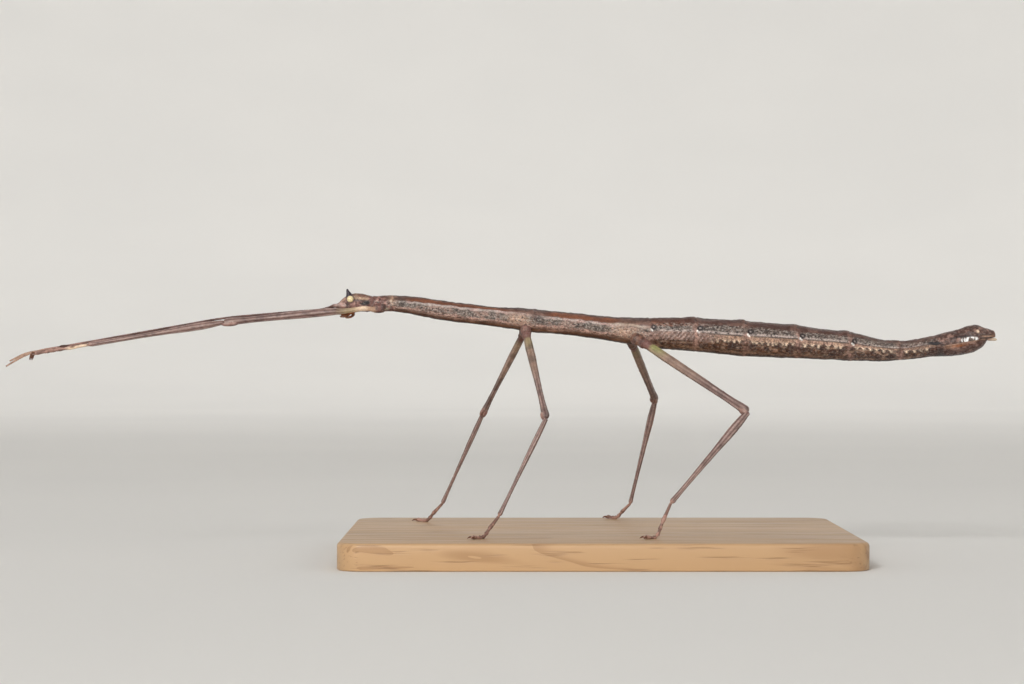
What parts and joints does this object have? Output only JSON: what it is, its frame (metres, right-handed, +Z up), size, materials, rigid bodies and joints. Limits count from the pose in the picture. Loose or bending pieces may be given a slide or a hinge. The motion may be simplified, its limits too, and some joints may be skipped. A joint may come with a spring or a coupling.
{
  "type": "branchlet stick insect model",
  "caption": "Life-size still model of a wingless brown female stick insect, forelegs and feelers stretched forward, standing on a flat wooden base.",
  "frame": {"origin": "centre of the underside of the wooden base", "axes": "+X towards the insect's tail, -Y towards its left side, +Z up"},
  "size_m": [0.1506, 0.06, 0.0406],
  "materials": {
    "cuticle_thorax": "brown granular cuticle, red-brown along the back",
    "cuticle_abdomen": "dark purple-brown granular cuticle with a tan side band",
    "cuticle_head": "brown cuticle with a tan stripe behind the eye",
    "cuticle_leg": "mauve-brown cuticle with paler ridges",
    "cuticle_foot": "brown cuticle with dark claws",
    "feeler": "brown, paler towards the tip",
    "eye": "pale cream-yellow, glossy",
    "horn": "purple-black",
    "mouth": "orange-brown",
    "operculum": "brown-orange, slightly glossy",
    "base_wood": "pale oiled wood"
  },
  "bodies": {
    "root": {"head": "cuticle_head", "mouthparts": "mouth", "eye_left": "eye", "eye_right": "eye", "horn_left": "horn", "horn_right": "horn", "antenna_left": "feeler", "antenna_right": "feeler", "prothorax": "cuticle_thorax", "mesothorax": "cuticle_thorax", "metathorax": "cuticle_thorax", "abdomen_2": "cuticle_abdomen", "abdomen_3": "cuticle_abdomen", "abdomen_4": "cuticle_abdomen", "abdomen_5": "cuticle_abdomen", "abdomen_6": "cuticle_abdomen", "abdomen_7": "cuticle_abdomen", "abdomen_8": "cuticle_abdomen", "abdomen_9": "cuticle_abdomen", "abdomen_10": "cuticle_abdomen", "operculum": "operculum", "cercus_left": "operculum", "cercus_right": "operculum", "fore_coxa_left": "cuticle_leg", "fore_coxa_right": "cuticle_leg", "fore_femur_left": "cuticle_leg", "fore_femur_right": "cuticle_leg", "fore_tibia_left": "cuticle_leg", "fore_tibia_right": "cuticle_leg", "fore_tarsus_left": "cuticle_foot", "fore_tarsus_right": "cuticle_foot", "mid_coxa_left": "cuticle_leg", "mid_coxa_right": "cuticle_leg", "mid_femur_left": "cuticle_leg", "mid_femur_right": "cuticle_leg", "mid_tibia_left": "cuticle_leg", "mid_tibia_right": "cuticle_leg", "mid_tarsus_left": "cuticle_foot", "mid_tarsus_right": "cuticle_foot", "hind_coxa_left": "cuticle_leg", "hind_coxa_right": "cuticle_leg", "hind_femur_left": "cuticle_leg", "hind_femur_right": "cuticle_leg", "hind_tibia_left": "cuticle_leg", "hind_tibia_right": "cuticle_leg", "hind_tarsus_left": "cuticle_foot", "hind_tarsus_right": "cuticle_foot", "stand_base": "base_wood"}
  },
  "joints": []
}
